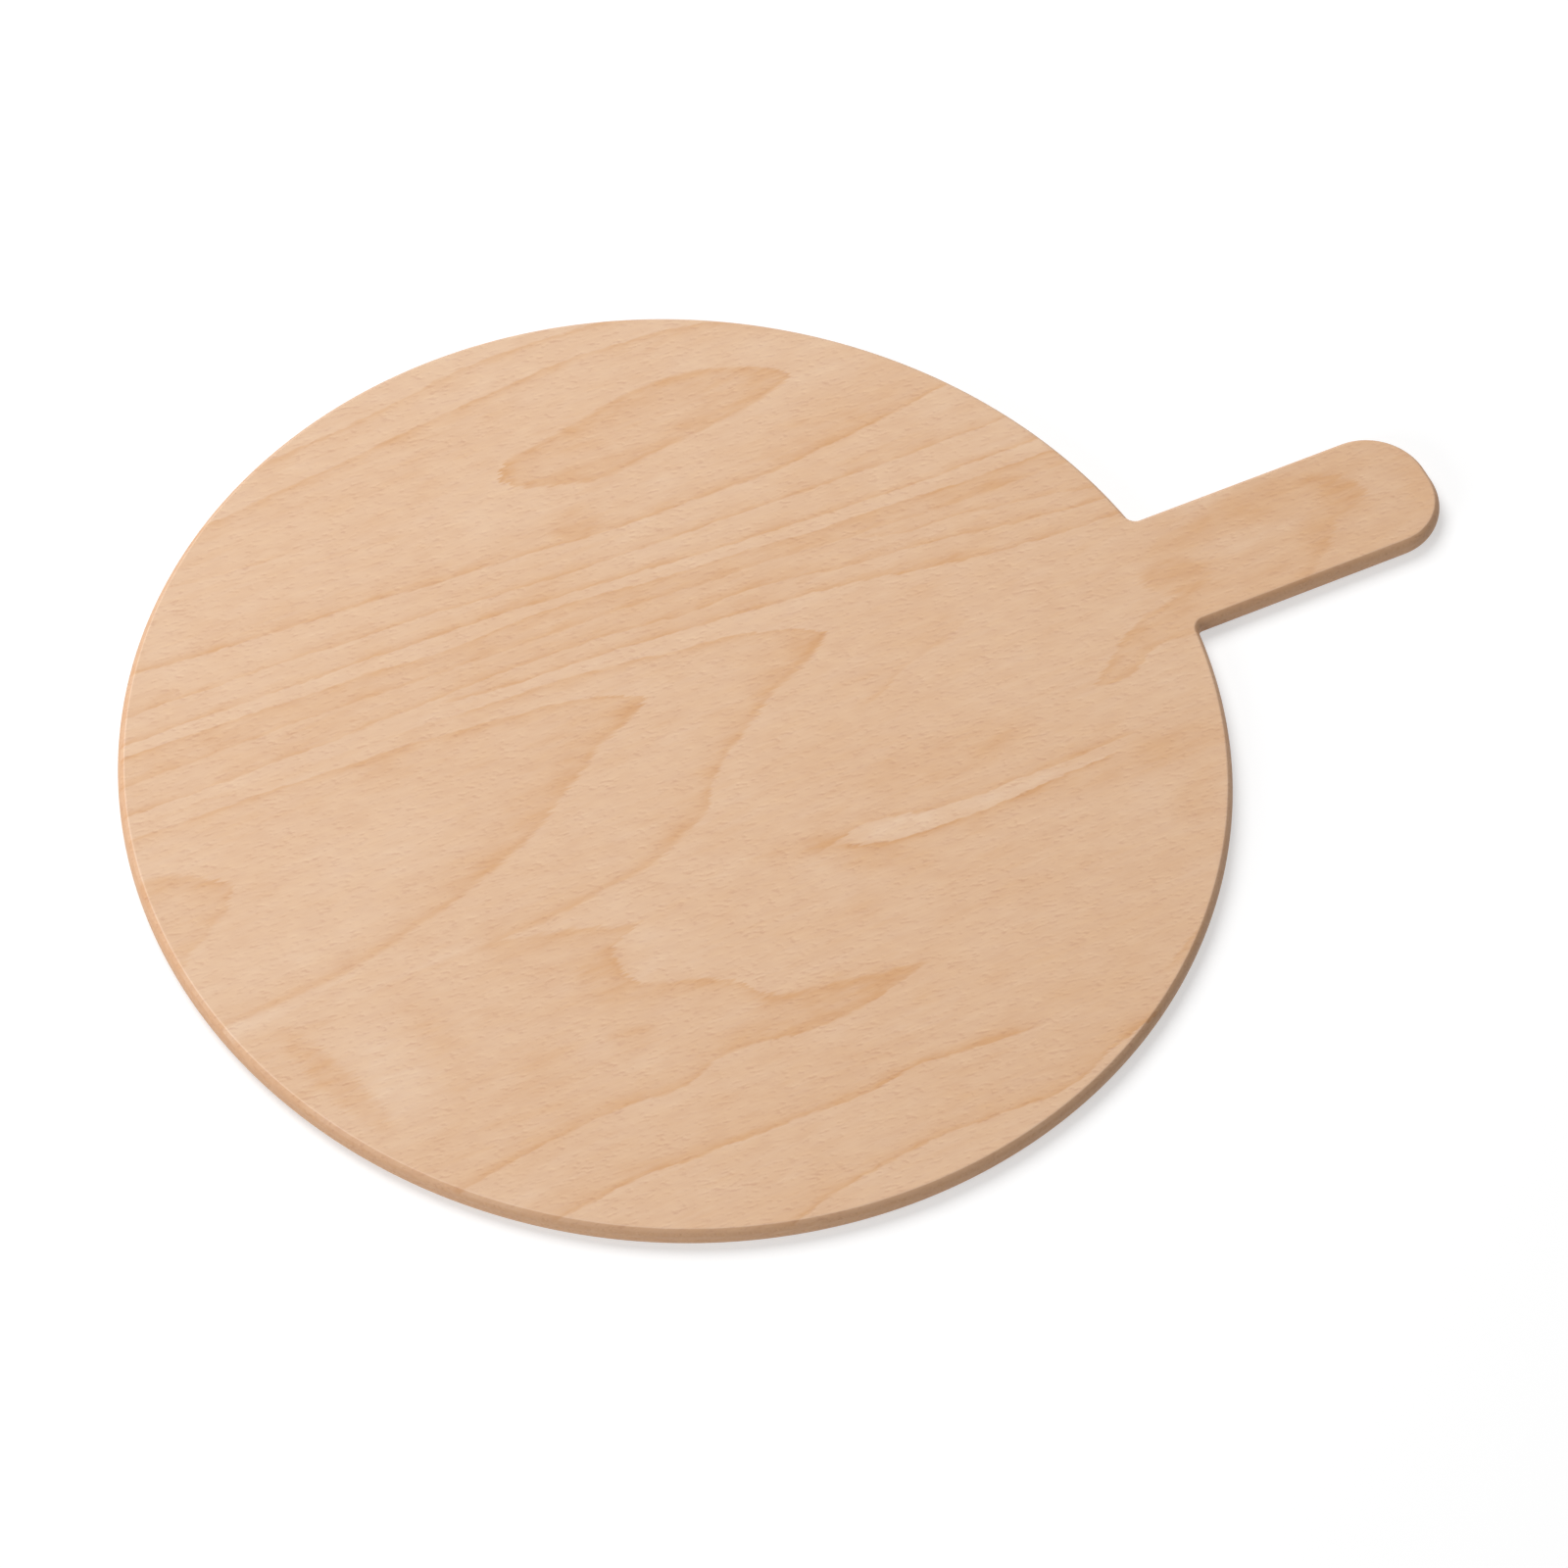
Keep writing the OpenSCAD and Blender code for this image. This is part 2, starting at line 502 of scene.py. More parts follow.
def drawn(tree, value, points):
    """Reads a curve through listed points (in millimetres) at the given value."""
    reach = CURVE_HIGH - CURVE_LOW
    share = span(tree, value, CURVE_LOW, CURVE_HIGH, soft=False)
    step = tree.nodes.new("ShaderNodeFloatCurve")
    curve = step.mapping.curves[0]
    places = [((a - CURVE_LOW) / reach, (b - CURVE_LOW) / reach) for a, b in points]
    curve.points[0].location = places[0]
    curve.points[1].location = places[-1]
    for spot in places[1:-1]:
        curve.points.new(*spot)
    step.mapping.extend = "EXTRAPOLATED"
    step.mapping.update()
    tree.links.new(share, step.inputs["Value"])
    return calc(tree, "MULTIPLY_ADD", step.outputs[0], reach, CURVE_LOW)


print("curves run from", CURVE_LOW, "to", CURVE_HIGH, "mm")

# %% [markdown]
# An effect that several woods share goes into a node group, so that it is built once and can be
# mended in one place. Two helpers make a group with its sockets, and put it into a material.

# %% Helpers for node groups
def new_group(name, sockets, outputs):
    """A node group with float inputs (a vector where the value is None) and float outputs."""
    group = bpy.data.node_groups.new(name, "ShaderNodeTree")
    for label, value in sockets.items():
        kind = "NodeSocketVector" if value is None else "NodeSocketFloat"
        socket = group.interface.new_socket(name=label, in_out="INPUT", socket_type=kind)
        if value is not None:
            socket.default_value = value
    for label in outputs:
        group.interface.new_socket(name=label, in_out="OUTPUT", socket_type="NodeSocketFloat")
    return group, group.nodes.new("NodeGroupInput"), group.nodes.new("NodeGroupOutput")


def use_group(tree, group, **values):
    """Puts a group into a tree and feeds it numbers or other nodes' outputs."""
    step = tree.nodes.new("ShaderNodeGroup")
    step.node_tree = group
    for label, value in values.items():
        slot = step.inputs[label.replace("_", " ").capitalize()]
        if isinstance(value, (int, float)):
            slot.default_value = value
        else:
            tree.links.new(value, slot)
    return step


print("group helpers are ready")

# %% [markdown]
# ## How a growth ring looks
# Across one ring of beech the wood darkens slowly towards the end of the season and then turns
# pale at once, where the next spring begins. So a ring line has a sharp side and a soft side. The
# group below gives that shape to any distance: strongest just inside the line, dying away inward,
# and a little less than 0 just outside it. The wood is called brown where the value is positive
# and pale where it is negative. Three fading shares add up to the brown: a thin core at the line,
# a near one and a far one that reaches five times deeper.

# %% Group: ring line
PALE_SHARE = 0.16
PALE_FADE = 6.0
CORE_FADE = 1.0
FAR_SLOWS = 0.2
EDGE_SHIFT = 0.5
LINE_SHARES = {"near": 0.45, "far": 0.18, "core": 0.85}


def fading(tree, deep, fade, shares):
    """Brown that dies away with the depth behind a line, in three shares."""
    fall = calc(tree, "DIVIDE", deep, fade)
    near = calc(tree, "EXPONENT", calc(tree, "MULTIPLY", fall, -1.0))
    far = calc(tree, "EXPONENT", calc(tree, "MULTIPLY", fall, -FAR_SLOWS))
    core = calc(tree, "EXPONENT", calc(tree, "DIVIDE", deep, -CORE_FADE))
    brown = calc(tree, "MULTIPLY_ADD", near, shares["near"], calc(tree, "MULTIPLY", far, shares["far"]))
    return calc(tree, "MULTIPLY_ADD", core, shares["core"], brown)


ring_line, given, result = new_group(
    "ring_line", {"Distance": 0.0, "Edge": 1.0, "Fade": 2.5, "Strength": 1.0}, ["Value"])
distance = calc(ring_line, "ADD", given.outputs["Distance"], EDGE_SHIFT)
inside_mm = calc(ring_line, "MAXIMUM", distance, 0.0)
outside_mm = calc(ring_line, "MINIMUM", distance, 0.0)
over_edge = calc(ring_line, "DIVIDE", distance, given.outputs["Edge"])
inside = span(ring_line, over_edge, -0.5, 0.5)
brown = fading(ring_line, inside_mm, given.outputs["Fade"], LINE_SHARES)
spring = calc(ring_line, "EXPONENT", calc(ring_line, "DIVIDE", outside_mm, PALE_FADE))
pale = calc(ring_line, "MULTIPLY", spring, -PALE_SHARE)
mixed = calc(ring_line, "MULTIPLY_ADD", inside, calc(ring_line, "SUBTRACT", brown, pale), pale)
ring_line.links.new(calc(ring_line, "MULTIPLY", mixed, given.outputs["Strength"]), result.inputs["Value"])
print("ring line group:", len(ring_line.nodes), "nodes")

# %% [markdown]
# A crown is the tongue that a ring makes where the veneer was cut almost along it. It has an upper
# and a lower flank, and a tip where they meet. Each flank has its own softness at the edge and
# fades inward at its own rate: the upper one is often a thin crisp line, the lower a broad band.

# %% Group: crown
CROWN_SHARES = {"near": 0.9, "far": 0.12, "core": 0.35}
TIP_FALL = 0.09

crown, given, result = new_group(
    "crown", {"Upper": 0.0, "Lower": 0.0, "Upper edge": 1.2, "Lower edge": 3.0, "Upper fade": 2.0,
              "Lower fade": 6.0, "Upper strength": 0.7, "Lower strength": 1.0, "Tip": 0.4}, ["Value"])
depth = calc(crown, "MINIMUM", given.outputs["Upper"], given.outputs["Lower"])
shades = []
masks = []
for flank in ("Upper", "Lower"):
    over_edge = calc(crown, "DIVIDE", given.outputs[flank], given.outputs[flank + " edge"])
    masks.append(span(crown, over_edge, -0.5, 0.5))
    deep = calc(crown, "MAXIMUM", given.outputs[flank], 0.0)
    shade = fading(crown, deep, given.outputs[flank + " fade"], CROWN_SHARES)
    shades.append(calc(crown, "MULTIPLY", shade, given.outputs[flank + " strength"]))
inside = calc(crown, "MULTIPLY", *masks)
both = calc(crown, "ADD", given.outputs["Upper"], given.outputs["Lower"])
tip = calc(crown, "EXPONENT", calc(crown, "MULTIPLY", calc(crown, "MAXIMUM", both, 0.0), -TIP_FALL))
brown = calc(crown, "MULTIPLY_ADD", tip, given.outputs["Tip"], calc(crown, "MAXIMUM", *shades))
strongest = calc(crown, "MAXIMUM", given.outputs["Upper strength"], given.outputs["Lower strength"])
spring = calc(crown, "EXPONENT", calc(crown, "DIVIDE", calc(crown, "MINIMUM", depth, 0.0), PALE_FADE))
pale = calc(crown, "MULTIPLY", calc(crown, "MULTIPLY", spring, -PALE_SHARE / 2), strongest)
mixed = calc(crown, "MULTIPLY_ADD", inside, calc(crown, "SUBTRACT", brown, pale), pale)
crown.links.new(mixed, result.inputs["Value"])
print("crown group:", len(crown.nodes), "nodes")

# %% [markdown]
# ## Flecks
# Beech is known for its flecks: short dark dashes, two or three millimetres long, with a slightly
# lighter side. They are the wood's rays, cut across by the knife. One noise drawn out along the
# grain gives the dashes, the same noise read a little to the side gives the light partner, and a
# slower noise gathers them in places. The group also gives fine fibres, for the tone and for the
# bump, and a soft mottle a few millimetres wide.

# %% Group: flecks
FLECK_LONG = 2.8
FLECK_WIDE = 1.1
FLECK_TURN = -12.0
FLECK_SPAN = (0.52, 0.74)
PARTNER_SHIFT = 0.55

flecks, given, result = new_group("beech_flecks", {"Place": None}, ["Dark", "Light", "Fibre", "Mottle"])
here = given.outputs["Place"]
dashes = noise(flecks, here, FLECK_LONG, FLECK_WIDE, 2.0, FLECK_TURN)
beside = noise(flecks, here, FLECK_LONG, FLECK_WIDE, 2.0, FLECK_TURN, PARTNER_SHIFT)
crowd = noise(flecks, here, 14.0, 7.0, 1.0, shift=40.0)
many = span(flecks, crowd, 0.3, 0.7, 0.55, 1.0)
dark = calc(flecks, "MULTIPLY", span(flecks, dashes, *FLECK_SPAN), many)
light = calc(flecks, "MULTIPLY", span(flecks, beside, *FLECK_SPAN), many)
flecks.links.new(dark, result.inputs["Dark"])
flecks.links.new(light, result.inputs["Light"])
fibre = noise_about_0(flecks, here, 26.0, 0.8, 3.0, shift=90.0)
flecks.links.new(fibre, result.inputs["Fibre"])
mottle = noise_about_0(flecks, here, 6.5, 3.0, 3.0, FLECK_TURN, 60.0)
flecks.links.new(mottle, result.inputs["Mottle"])
print("fleck group:", len(flecks.nodes), "nodes")

# %% [markdown]
# ## The side and the arris, with painted shade and a painted highlight
# The sawn and sanded side takes up more oil than the faces, so it is a deeper tone. On top of that
# the side carries painted shade: its colour is darkened all over, up to near the corner, to stand
# for the shade that the side sits in. The corner between side and face, which a joiner calls the
# arris, carries a painted highlight: its colour is made paler to stand for the lamps' glint on it,
# and its surface is a little smoother. Both masks read the object's own normal, which points
# straight up or down on a face, level at mid height, and in between on the rounded corner. The
# pairs of numbers say how upright the normal is where a mask fades.

# %% Group: cut side
# SIDE_ENDS: how far towards the corner the side's deeper tone and painted shade reach.
SIDE_ENDS = (0.74, 0.88)
# ARRIS_BEGINS and ARRIS_ENDS bound the arris, where the painted highlight lies.
ARRIS_BEGINS = (0.72, 0.84)
ARRIS_ENDS = (0.97, 0.999)

cut_side, given, result = new_group("cut_side", {}, ["Mask", "Arris"])
own = cut_side.nodes.new("ShaderNodeTexCoord")
parts = cut_side.nodes.new("ShaderNodeSeparateXYZ")
cut_side.links.new(own.outputs["Normal"], parts.inputs[0])
level = calc(cut_side, "ABSOLUTE", parts.outputs["Z"])
mask = span(cut_side, level, *SIDE_ENDS, 1.0, 0.0)
past_side = span(cut_side, level, *ARRIS_BEGINS)
off_face = span(cut_side, level, *ARRIS_ENDS, 1.0, 0.0)
cut_side.links.new(mask, result.inputs["Mask"])
cut_side.links.new(calc(cut_side, "MULTIPLY", past_side, off_face), result.inputs["Arris"])
print("cut side group:", len(cut_side.nodes), "nodes")

# %% [markdown]
# ## One wood, four finishes
# Every finish starts the same way: a place in millimetres, flecks, a brown value, and at the end
# a colour that is the pale ground multiplied down by the brown. Brown takes most from the blue and
# least from the red, as real heartwood tones do. The three numbers of a share are for red, green
# and blue. The wood is sanded and thinly oiled, so it is nearly matt, and its relief is no deeper
# than two hundredths of a millimetre.

# %% Start and end of a wood finish
PALE_GROUND = (0.765, 0.503, 0.322)
BROWN_TAKES = (0.057, 0.135, 0.232)
# The side's deeper oiled tone together with its painted shade, taken from red, green and blue.
SIDE_TONE_AND_SHADE = (0.045, 0.11, 0.16)
FLECK_TAKES = 0.14
LIGHT_GIVES = 0.07
FIBRE_GIVES = 0.08
MOTTLE_GIVES = 0.16
SPOT_SHARES = (0.72, 1.12, 1.05)
# Painted highlight on the arris: how much paler its colour is made, for red, green and blue.
ARRIS_PAINTED_HIGHLIGHT = (0.06, 0.10, 0.17)
ROUGHNESS = 0.55
FIBRE_ROUGHENS = 0.25
FLECK_ROUGHENS = 0.1
ARRIS_SMOOTHS = 0.1
GLOSS_LEVEL = 0.35
RELIEF_STRENGTH = 0.5
RELIEF_DEPTH = 0.02 * MM
FLECK_SINKS = 0.6


def start_wood(name):
    """A new material with its place in millimetres, along and across the board."""
    finish = bpy.data.materials.new(name)
    finish.use_nodes = True
    tree = finish.node_tree
    own = tree.nodes.new("ShaderNodeTexCoord")
    in_mm = tree.nodes.new("ShaderNodeVectorMath")
    in_mm.operation = "SCALE"
    in_mm.inputs["Scale"].default_value = 1 / MM
    tree.links.new(own.outputs["Object"], in_mm.inputs[0])
    return finish, tree, in_mm.outputs[0]


def end_wood(tree, place, brown_value):
    """Mixes the colour from the brown value, the flecks, the side's tone and painted shade and the arris's
    painted highlight, and fills the shader.
    """
    shader = tree.nodes["Principled BSDF"]
    spots = use_group(tree, flecks, place=place)
    sanded = use_group(tree, cut_side)
    side = sanded.outputs["Mask"]
    spotted = calc(tree, "MULTIPLY", spots.outputs["Dark"], -FLECK_TAKES)
    spotted = calc(tree, "MULTIPLY_ADD", spots.outputs["Light"], LIGHT_GIVES, spotted)
    spotted = calc(tree, "MULTIPLY_ADD", spots.outputs["Fibre"], FIBRE_GIVES, spotted)
    spotted = calc(tree, "MULTIPLY_ADD", spots.outputs["Mottle"], MOTTLE_GIVES, spotted)
    mix = tree.nodes.new("ShaderNodeCombineColor")
    shares = zip(("Red", "Green", "Blue"), PALE_GROUND, BROWN_TAKES, SIDE_TONE_AND_SHADE, SPOT_SHARES, ARRIS_PAINTED_HIGHLIGHT)
    for channel, ground, brown_takes, side_tone_and_shade, spot_share, arris_highlight in shares:
        left = calc(tree, "MULTIPLY_ADD", brown_value, -brown_takes, 1.0)
        # The side's deeper tone and painted shade.
        kept = calc(tree, "MULTIPLY_ADD", side, -side_tone_and_shade, 1.0)
        # The painted highlight on the arris.
        highlighted = calc(tree, "MULTIPLY_ADD", sanded.outputs["Arris"], arris_highlight, 1.0)
        plain = calc(tree, "MULTIPLY_ADD", spotted, spot_share, highlighted)
        tone = calc(tree, "MULTIPLY", calc(tree, "MULTIPLY", left, kept), plain)
        tree.links.new(calc(tree, "MULTIPLY", tone, ground), mix.inputs[channel])
    tree.links.new(mix.outputs[0], shader.inputs["Base Color"])
    rough = calc(tree, "MULTIPLY_ADD", spots.outputs["Fibre"], FIBRE_ROUGHENS, ROUGHNESS)
    rough = calc(tree, "MULTIPLY_ADD", sanded.outputs["Arris"], -ARRIS_SMOOTHS, rough)
    rough = calc(tree, "MULTIPLY_ADD", spots.outputs["Dark"], FLECK_ROUGHENS, rough)
    tree.links.new(rough, shader.inputs["Roughness"])
    shader.inputs["Specular IOR Level"].default_value = GLOSS_LEVEL
    bump = tree.nodes.new("ShaderNodeBump")
    bump.inputs["Strength"].default_value = RELIEF_STRENGTH
    bump.inputs["Distance"].default_value = RELIEF_DEPTH
    relief = calc(tree, "MULTIPLY_ADD", spots.outputs["Dark"], -FLECK_SINKS, spots.outputs["Fibre"])
    tree.links.new(relief, bump.inputs["Height"])
    tree.links.new(bump.outputs[0], shader.inputs["Normal"])


print("brown takes", BROWN_TAKES, "and the side takes", SIDE_TONE_AND_SHADE)

# %% [markdown]
# ## The serving face
# This is the figure that makes the board recognisable: an oval island near the far rim, a straight
# band of lines across the middle, two crowns that point to the right, a ragged contour in front of
# them and a pale lens on the right. Each line is a curve through a few points in millimetres, read
# off the photograph: x along the handle, y across. The side says on which side the line
# is brown: 1 above it, -1 below it.

# %% Growth lines of the serving face
GROWTH_LINES = [
    # side, edge, fade, strength, start, end, points
    (-1, 1.4, 2.5, 0.90, -80, 60, [(-70, 157.5), (-50, 159), (-30, 161), (-15, 163), (0, 165.5),
                                   (45, 165)]),
    (-1, 1.4, 2.8, 0.90, -120, 110, [(-92, 143), (-75, 144.5), (-50, 147), (-30, 149), (8, 153), (37, 155),
                                     (55, 154), (70, 153), (85, 149.5)]),
    (1, 1.2, 3.2, 1.00, -178, 165, [(-140, 99.5), (-125, 97.8), (-100, 96.4), (-75, 95.1), (-50, 93.2),
                                    (-30, 92), (0, 90), (15, 88.7), (55, 88.2), (77, 88), (92, 89.5),
                                    (115, 92), (142, 96.2)]),
    (1, 0.9, 1.6, 0.80, -178, 170, [(-145, 85), (-97, 84.2), (-75, 83), (-50, 82.2), (-20, 79.5), (22, 78),
                                    (60, 77.2), (100, 76.2), (155, 76.5)]),
    (1, 0.9, 2.0, 0.95, -178, 170, [(-154, 75.7), (-97, 75), (-70, 74), (-30, 73), (-5, 71.5), (15, 70.2),
                                    (50, 67.5), (67, 66.5), (100, 65.2), (157, 64.2)]),
    (-1, 0.9, 3.4, 0.85, -178, 170, [(-155, 70.3), (-130, 69.8), (-100, 68.9), (-75, 68.2), (-50, 66.6),
                                     (-10, 67), (5, 66), (25, 63.8), (50, 62.3), (75, 60.4), (100, 59.8),
                                     (125, 58.3), (160, 57.5)]),
    (1, 1.0, 3.0, 0.50, -178, 170, [(-157, 61), (-100, 61.5), (-50, 60), (0, 59), (30, 57.7), (75, 55.5),
                                    (100, 53.6), (130, 52.3), (165, 52)]),
    (1, 0.9, 2.2, 0.80, -178, 175, [(-155, 50.5), (-120, 50.3), (-80, 51), (-25, 52.3), (0, 51.5), (15, 50),
                                    (25, 48.8), (50, 48.8), (62, 47.5), (80, 44.7), (100, 42.7), (115, 41),
                                    (125, 39.3), (145, 36.6), (165, 34.5)]),
    (1, 0.9, 2.2, 1.00, -55, 180, [(-60, 49), (-35, 46.6), (0, 45.4), (15, 44), (30, 42.7), (50, 41),
                                   (70, 39), (85, 37), (100, 33.8), (110, 32.5), (120, 30.4),
                                   (140, 28.6), (165, 27)]),
    (1, 0.9, 2.0, 0.60, 92, 180, [(95, 51), (105, 48.3), (125, 47.8), (135, 45.5), (150, 43.4), (168, 40)]),
    (1, 1.1, 2.6, 1.15, -115, 55, [(-104, -136.6), (-95, -136), (-86, -135), (-78, -133.8), (-66, -134.6),
                                   (-50, -135), (-25, -135.4), (0, -135.7), (8, -134.6), (14, -133.6),
                                   (21, -133.3), (28, -134.7), (37, -135.4), (50, -136.2)]),
    (1, 1.1, 2.6, 1.15, -48, 95, [(-41, -167.9), (-29, -164.5), (-15, -162), (0, -160), (10, -159.3),
                                  (32, -159.8), (57, -159.5), (72, -153.7), (82, -150.5)]),
    (-1, 1.2, 3.0, 0.60, 103, 120, [(103, -134), (110, -131), (118, -126)]),
    (1, 1.2, 2.0, 0.35, -135, -70, [(-125, 126), (-110, 124.5), (-90, 123), (-75, 121.5)]),
    (1, 1.2, 3.0, 0.20, -135, -40, [(-130, 120), (-90, 117), (-40, 113)]),
    (1, 1.8, 3.5, 0.55, 62, 104, [(60, -7), (70, -4), (77, 0), (90, 4), (102, 7.5), (110, 11)]),
    (-1, 0.8, 2.4, 1.15, 33, 124, [(33, -52.5), (38, -54.8), (46, -57), (54, -58.1), (75, -58.9),
                                   (92, -58.3), (105, -57.6), (120, -56.8)]),
    (1, 0.9, 3.2, 0.80, 22, 132, [(-10, -50), (10, -50), (27, -50.2), (40, -47.3), (52, -48.3), (60, -50.3),
                                  (75, -52), (90, -51.8), (110, -51.9), (130, -51.3)]),
]
print("growth lines:", len(GROWTH_LINES))

# %% [markdown]
# Crowns, islands and tongues lie between two curves, an upper and a lower one that cross at the
# tip. Broad brown or pale places, which no line bounds, are soft ovals.

# %% Crowns and islands of the serving face
OVAL_TOP = [(-12, 112), (-4, 121), (0, 126.5), (10, 128), (27, 131), (40, 134), (57, 135.7), (70, 134.7),
            (80, 132), (90, 128), (99, 121.5), (108, 113)]
OVAL_FOOT = [(-12, 128), (-4, 119), (0, 115.5), (5, 113), (15, 110), (27, 108), (37, 109), (52, 111),
             (67, 112.5), (82, 114.5), (92, 117), (99, 121), (108, 130)]
CROWN_1_TOP = [(-175, 42.5), (-165, 41.9), (-150, 41.3), (-125, 40.9), (-100, 39.6), (-75, 38.7), (-60, 37),
               (-50, 36.5), (-40, 35.2), (-30, 34.2), (-20, 32.5), (-12, 30.5), (-5, 27.5), (10, 20)]
CROWN_1_FOOT = [(-175, -32.7), (-150, -32), (-120, -29), (-100, -23.7), (-90, -21.5), (-80, -18),
                (-70, -14.5), (-60, -10.5), (-50, -5.7), (-40, 1.2), (-30, 7.5), (-22, 13), (-15, 16),
                (-7.5, 19.5), (0, 24), (10, 32)]
CROWN_2_TOP = [(-165, 46.5), (-75, 43.8), (-60, 43), (-40, 42.3), (-25, 41.8), (0, 39.3), (15, 37),
               (30, 35.2), (43, 33), (50, 30.5), (57, 27.5), (64, 23.5), (75, 16)]
CROWN_2_FOOT = [(-110, -41), (-85, -39.7), (-65, -38.7), (-45, -36), (-32, -34.5), (-22, -32.5),
                (-15, -29), (-7.5, -26), (-1, -22), (4, -16), (9, -10.5), (15, -5), (22.5, -0.5),
                (30, 4.2), (37, 9.2), (45, 13), (55, 17), (60, 20), (64, 23), (75, 31)]
CROWN_0_TOP = [(-175, 26), (-165, 25), (-155, 20.5), (-149, 15.5), (-140, 8)]
CROWN_0_FOOT = [(-175, -10), (-168, -4), (-160, 1), (-152, 6), (-148, 11), (-142, 20)]
RAGGED_TOP = [(-175, -39.5), (-155, -41.5), (-145, -43), (-125, -41), (-85, -39.7), (-72, -42),
              (-62, -44.5), (-52, -47), (-45, -50), (-30, -52)]
RAGGED_END = [(-80, -43), (-75, -45), (-71, -48), (-67, -50), (-62, -51), (-57, -50), (-54, -45),
              (-52, -39), (-49, -31)]
RAGGED_LOW = [(-60, -70), (-49, -71.5), (-40, -75), (-30, -78), (-22, -82.5), (-12, -93), (-5, -94.8),
              (10, -96.8), (27, -100), (37, -102), (50, -106)]
RAGGED_FOOT = [(-140, -118), (-125, -116), (-100, -112.2), (-75, -110.2), (-49, -110.7), (-43, -108.6),
               (-36, -106), (-23, -106.4), (-10, -108.6), (0, -108.6), (14, -107), (25, -104.4),
               (37, -101.5), (50, -97)]
LENS_TOP = [(25, -51.5), (32, -49.2), (38, -47.6), (50, -48.9), (60, -50.8), (75, -52.3), (100, -53.2),
            (118, -55.3), (135, -58)]
LENS_FOOT = [(25, -47.5), (32, -50.5), (38, -53.5), (46, -56.2), (54, -57.3), (75, -58.1), (92, -57.5),
             (100, -57), (118, -56), (135, -53.5)]
STREAK_TOP = [(-175, -33.8), (-150, -32.8), (-120, -30.5), (-105, -28)]
STREAK_FOOT = [(-175, -40), (-167, -39), (-150, -37), (-130, -33), (-115, -29.5), (-105, -26)]
WEDGE_TOP = [(128, -33), (134, -29), (145, -21), (157, -14), (172, -11), (190, -9)]
WEDGE_FOOT = [(128, -28), (135, -31), (142, -32), (150, -29), (155, -25.5), (172, -26), (190, -27)]
ARCH_TOP = [(165, 6), (172, 10), (185, 13), (195, 15.5), (210, 17), (228, 16.5), (238, 12.5), (244, 8),
            (248, 3), (255, -6)]
ARCH_FOOT = [(212, -24), (218, -18.5), (225, -14), (230, -9), (234, -4.5), (241, -2.5), (246, 0),
             (250, 5), (258, 12)]
print("the oval runs from x", OVAL_TOP[0][0], "to", OVAL_TOP[-1][0], "mm")

# %% Patches of the serving face
PATCHES = [
    # x, y, half length, half width, turn, softness, value
    (10, 95, 8, 6, 0, 0.5, 0.55), (105, 98, 28, 8, 2, 0.7, 0.40), (-75, 62, 105, 9, 0, 0.6, 0.15),
    (125, 56, 42, 4, 0, 0.6, 0.15), (118, 31.5, 14, 2, -10, 0.6, 0.30),
    (-158, -57, 10, 12, 0, 0.5, 0.25), (-147, -66, 21, 5, -72, 0.45, 0.75),
    (-131, -68, 12, 20, 0, 0.8, -0.42), (-113, -66, 6, 18, 8, 0.9, 0.28),
    (-86, -86, 9, 7, -20, 0.8, 0.45), (-58, -89, 7, 4, -15, 0.6, 0.45),
    (-35, -63, 13, 10, 0, 0.8, -0.35), (80, -35, 26, 8, 0, 0.8, 0.50),
    (94, -37, 11, 4, 0, 0.6, 0.35), (143, -61, 22, 6, 4, 0.5, 0.50), (37, -58, 16, 7, -32, 0.6, 0.55),
    (176, -3, 11, 7, -15, 0.25, 0.80), (200, 1, 18, 4, -4, 0.5, -0.45), (268, 6, 6, 12, 0, 0.7, 0.20),
    (212, 10.5, 34, 5, 2, 0.8, 0.40), (240, 3, 7, 7, 0, 0.6, 0.40), (225, -9, 6, 8, -20, 0.7, 0.35),
    (254, -2, 6, 15, 0, 0.6, -0.20), (192, 20, 16, 2.5, 0, 0.5, -0.30), (8, -100, 26, 6, -6, 0.8, 0.35),
    (-110, 20, 50, 12, 0, 0.9, 0.10), (60, -100, 50, 20, 0, 0.9, 0.10), (20, -47, 15, 4, -5, 0.7, 0.40),
    (150, 54, 18, 6, 0, 0.6, 0.20), (143, -80, 12, 6, 30, 0.6, 0.45), (-56, -62, 7, 12, 0, 0.6, 0.40),
]
print("patches:", len(PATCHES))

# %% [markdown]
# Lines drawn by a ruler would look false. Fibres run along the grain, so the edge of a real figure
# is feathered along x: we shift the place by a noise of fine long fibres before we read any curve,
# and by a slower noise across, which makes every line waver a little.

# %% The place on the serving face, feathered and wavering
FEATHER_MM = 7.0
WAVER_MM = 1.4
JITTER_MM = 1.6

face_wood, tree, place = start_wood("beech_serving_face")
parts = tree.nodes.new("ShaderNodeSeparateXYZ")
tree.links.new(place, parts.inputs[0])
x, y = parts.outputs["X"], parts.outputs["Y"]
feather = noise_about_0(tree, place, 9.0, 0.7, 1.0, shift=15.0)
waver = noise_about_0(tree, place, 22.0, 7.0, 2.0, shift=70.0)
jitter = noise_about_0(tree, place, 4.0, 1.5, 1.0, shift=25.0)
along = calc(tree, "MULTIPLY_ADD", feather, FEATHER_MM, x)
across = calc(tree, "MULTIPLY_ADD", waver, WAVER_MM, y)
across = calc(tree, "MULTIPLY_ADD", jitter, JITTER_MM, across)
moved = tree.nodes.new("ShaderNodeCombineXYZ")
tree.links.new(along, moved.inputs["X"])
tree.links.new(across, moved.inputs["Y"])
moved_place = moved.outputs[0]
print("the place is feathered by", FEATHER_MM, "mm and wavers by", WAVER_MM, "mm")

